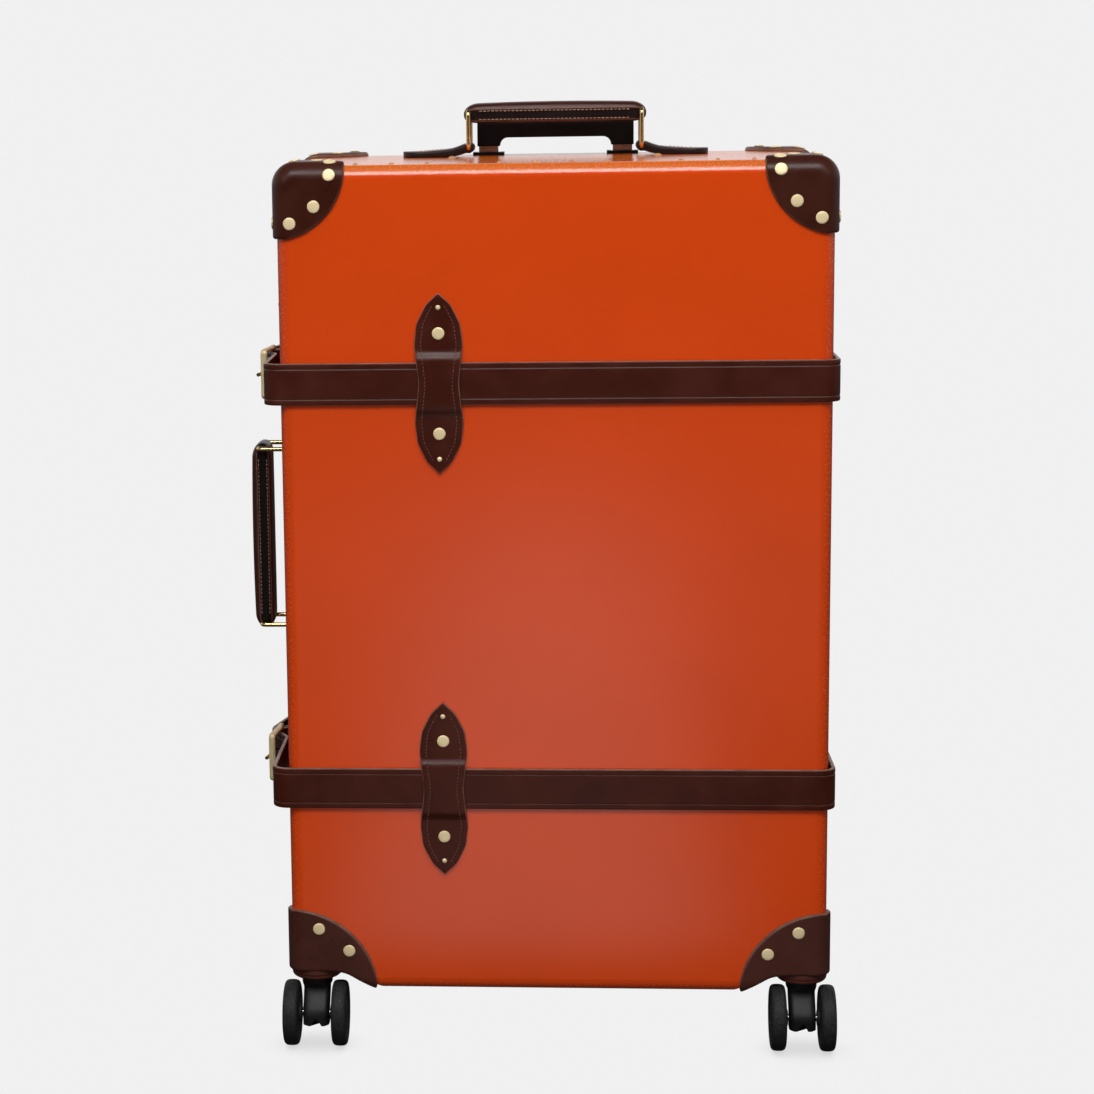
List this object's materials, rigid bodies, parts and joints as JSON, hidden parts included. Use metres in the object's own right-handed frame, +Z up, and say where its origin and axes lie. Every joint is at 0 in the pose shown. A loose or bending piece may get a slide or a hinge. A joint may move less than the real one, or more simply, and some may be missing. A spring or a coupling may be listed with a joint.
{
  "type": "trunk suitcase",
  "caption": "Upright trunk-style suitcase with a hinged hard case, leather corner caps, buckled straps, carry handles, a telescopic pull handle and swivel casters.",
  "frame": {"origin": "on the floor under the middle of the case body", "axes": "+X to the right and +Y away from someone facing the front, +Z up"},
  "size_m": [0.5154, 0.3006, 0.8083],
  "materials": {
    "painted_board": "glossy orange paint on vulcanised fibreboard",
    "ash_frame": "oiled ash",
    "lining_cloth": "matt cotton",
    "cover_board": "cloth-covered hardboard",
    "cap_leather": "semi-gloss dark brown",
    "strap_leather": "semi-gloss dark brown",
    "handle_leather": "satin dark brown",
    "brass": "polished pale brass",
    "steel_pin": "bright steel",
    "pull_tube": "bright anodised",
    "black_plastic": "satin black",
    "brown_plastic": "satin dark brown",
    "wheel_rubber": "matt dark grey"
  },
  "bodies": {
    "rear_case": {"rear_shell": "painted_board", "rear_rim_frame": "ash_frame", "rear_lining": "lining_cloth", "pull_handle_board": "cover_board", "rear_top_caps": "cap_leather", "rear_bottom_caps": "cap_leather", "rear_caster_housings": "brown_plastic", "handle_chapes": "handle_leather", "pull_guides": "pull_tube", "pull_bezels": "black_plastic", "rear_hinge_leaves": "brass", "hinge_pins": "steel_pin", "lock_bodies": "brass", "rear_strap_upper": "strap_leather", "rear_strap_lower": "strap_leather", "rear_keepers": "strap_leather", "rear_rivets": "brass"},
    "lid": {"front_shell": "painted_board", "front_rim_frame": "ash_frame", "front_lining": "lining_cloth", "front_top_caps": "cap_leather", "front_bottom_caps": "cap_leather", "front_caster_housings": "brown_plastic", "front_strap_upper": "strap_leather", "front_strap_lower": "strap_leather", "buckle_straps": "strap_leather", "buckle_frames": "brass", "front_keepers": "strap_leather", "front_rivets": "brass", "front_studs": "brass", "front_hinge_leaves": "brass", "hasp_mounts": "brass"},
    "top_ring_left": {"top_ring_left": "brass"},
    "top_ring_right": {"top_ring_right": "brass"},
    "top_grip": {"top_grip": "handle_leather"},
    "side_ring_lower": {"side_ring_lower": "brass"},
    "side_ring_upper": {"side_ring_upper": "brass"},
    "side_grip": {"side_grip": "handle_leather"},
    "pull_middle": {"pull_middle_tubes": "pull_tube"},
    "pull_top": {"pull_top_tubes": "pull_tube", "pull_grip": "black_plastic"},
    "pull_button": {"pull_button": "black_plastic"},
    "lock_hasp_lower": {"lock_hasp_lower": "brass"},
    "lock_hasp_upper": {"lock_hasp_upper": "brass"},
    "buckle_prong_lower": {"buckle_prong_lower": "brass"},
    "buckle_prong_upper": {"buckle_prong_upper": "brass"},
    "caster_front_left": {"caster_front_left_fork": "black_plastic"},
    "caster_front_left_wheelset": {"caster_front_left_axle": "steel_pin", "caster_front_left_wheels": "wheel_rubber"},
    "caster_front_right": {"caster_front_right_fork": "black_plastic"},
    "caster_front_right_wheelset": {"caster_front_right_axle": "steel_pin", "caster_front_right_wheels": "wheel_rubber"},
    "caster_rear_left": {"caster_rear_left_fork": "black_plastic"},
    "caster_rear_left_wheelset": {"caster_rear_left_axle": "steel_pin", "caster_rear_left_wheels": "wheel_rubber"},
    "caster_rear_right": {"caster_rear_right_fork": "black_plastic"},
    "caster_rear_right_wheelset": {"caster_rear_right_axle": "steel_pin", "caster_rear_right_wheels": "wheel_rubber"}
  },
  "joints": [
    {"name": "lid_hinge", "type": "hinge", "parent": "rear_case", "child": "lid", "pos_m": [0.235, 0.027, 0.4065], "axis": [0, 0, 1], "range_deg": [0, 110]},
    {"name": "caster_front_left_swivel", "type": "hinge", "parent": "lid", "child": "caster_front_left", "pos_m": [-0.21, -0.116, 0.0591], "axis": [0, 0, 1], "continuous": true},
    {"name": "caster_front_left_roll", "type": "hinge", "parent": "caster_front_left", "child": "caster_front_left_wheelset", "pos_m": [-0.21, -0.13, 0.0285], "axis": [1, 0, 0], "continuous": true},
    {"name": "caster_front_right_swivel", "type": "hinge", "parent": "lid", "child": "caster_front_right", "pos_m": [0.21, -0.116, 0.0591], "axis": [0, 0, 1], "continuous": true},
    {"name": "caster_front_right_roll", "type": "hinge", "parent": "caster_front_right", "child": "caster_front_right_wheelset", "pos_m": [0.21, -0.13, 0.0285], "axis": [1, 0, 0], "continuous": true},
    {"name": "caster_rear_left_swivel", "type": "hinge", "parent": "rear_case", "child": "caster_rear_left", "pos_m": [-0.21, 0.116, 0.0591], "axis": [0, 0, 1], "continuous": true},
    {"name": "caster_rear_left_roll", "type": "hinge", "parent": "caster_rear_left", "child": "caster_rear_left_wheelset", "pos_m": [-0.21, 0.102, 0.0285], "axis": [1, 0, 0], "continuous": true},
    {"name": "caster_rear_right_swivel", "type": "hinge", "parent": "rear_case", "child": "caster_rear_right", "pos_m": [0.21, 0.116, 0.0591], "axis": [0, 0, 1], "continuous": true},
    {"name": "caster_rear_right_roll", "type": "hinge", "parent": "caster_rear_right", "child": "caster_rear_right_wheelset", "pos_m": [0.21, 0.102, 0.0285], "axis": [1, 0, 0], "continuous": true},
    {"name": "top_handle_swing", "type": "hinge", "parent": "rear_case", "child": "top_ring_left", "pos_m": [-0.07625, 0.05702, 0.7695], "axis": [0, 1, 0], "range_deg": [-55, 55]},
    {"name": "top_ring_right_swing", "type": "hinge", "parent": "rear_case", "child": "top_ring_right", "pos_m": [0.07625, 0.05702, 0.7695], "axis": [0, 1, 0], "range_deg": [-55, 55]},
    {"name": "top_grip_level", "type": "hinge", "parent": "top_ring_left", "child": "top_grip", "pos_m": [-0.07625, 0.05702, 0.8015], "axis": [0, 1, 0], "range_deg": [-55, 55]},
    {"name": "side_handle_swing", "type": "hinge", "parent": "rear_case", "child": "side_ring_lower", "pos_m": [-0.238, 0.05702, 0.3393], "axis": [0, 1, 0], "range_deg": [-55, 55]},
    {"name": "side_ring_upper_swing", "type": "hinge", "parent": "rear_case", "child": "side_ring_upper", "pos_m": [-0.238, 0.05702, 0.5017], "axis": [0, 1, 0], "range_deg": [-55, 55]},
    {"name": "side_grip_level", "type": "hinge", "parent": "side_ring_lower", "child": "side_grip", "pos_m": [-0.27, 0.05702, 0.3393], "axis": [0, 1, 0], "range_deg": [-55, 55]},
    {"name": "pull_middle_slide", "type": "slide", "parent": "rear_case", "child": "pull_middle", "axis": [0, 0, 1], "range_m": [0, 0.15]},
    {"name": "pull_top_slide", "type": "slide", "parent": "pull_middle", "child": "pull_top", "axis": [0, 0, 1], "range_m": [0, 0.15]},
    {"name": "pull_button_press", "type": "slide", "parent": "pull_top", "child": "pull_button", "axis": [0, 0, -1], "range_m": [0, 0.003], "stiffness_N_per_m": 600},
    {"name": "lock_hasp_lower_turn", "type": "hinge", "parent": "lid", "child": "lock_hasp_lower", "pos_m": [-0.2352, 0.01, 0.15663], "axis": [0, 0, 1], "range_deg": [0, 110]},
    {"name": "lock_hasp_upper_turn", "type": "hinge", "parent": "lid", "child": "lock_hasp_upper", "pos_m": [-0.2352, 0.01, 0.65146], "axis": [0, 0, 1], "range_deg": [0, 110]},
    {"name": "buckle_prong_lower_turn", "type": "hinge", "parent": "lid", "child": "buckle_prong_lower", "pos_m": [-0.2505, 0.005, 0.2325], "axis": [0, 0, -1], "range_deg": [0, 100]},
    {"name": "buckle_prong_upper_turn", "type": "hinge", "parent": "lid", "child": "buckle_prong_upper", "pos_m": [-0.247, -0.0184, 0.5805], "axis": [0, 0, -1], "range_deg": [0, 100]}
  ],
  "couplings": [
    {"joint": "top_ring_right_swing", "follows": "top_handle_swing", "ratio": 1},
    {"joint": "top_grip_level", "follows": "top_handle_swing", "ratio": -1},
    {"joint": "side_ring_upper_swing", "follows": "side_handle_swing", "ratio": 1},
    {"joint": "side_grip_level", "follows": "side_handle_swing", "ratio": -1},
    {"joint": "pull_top_slide", "follows": "pull_middle_slide", "ratio": 1}
  ]
}
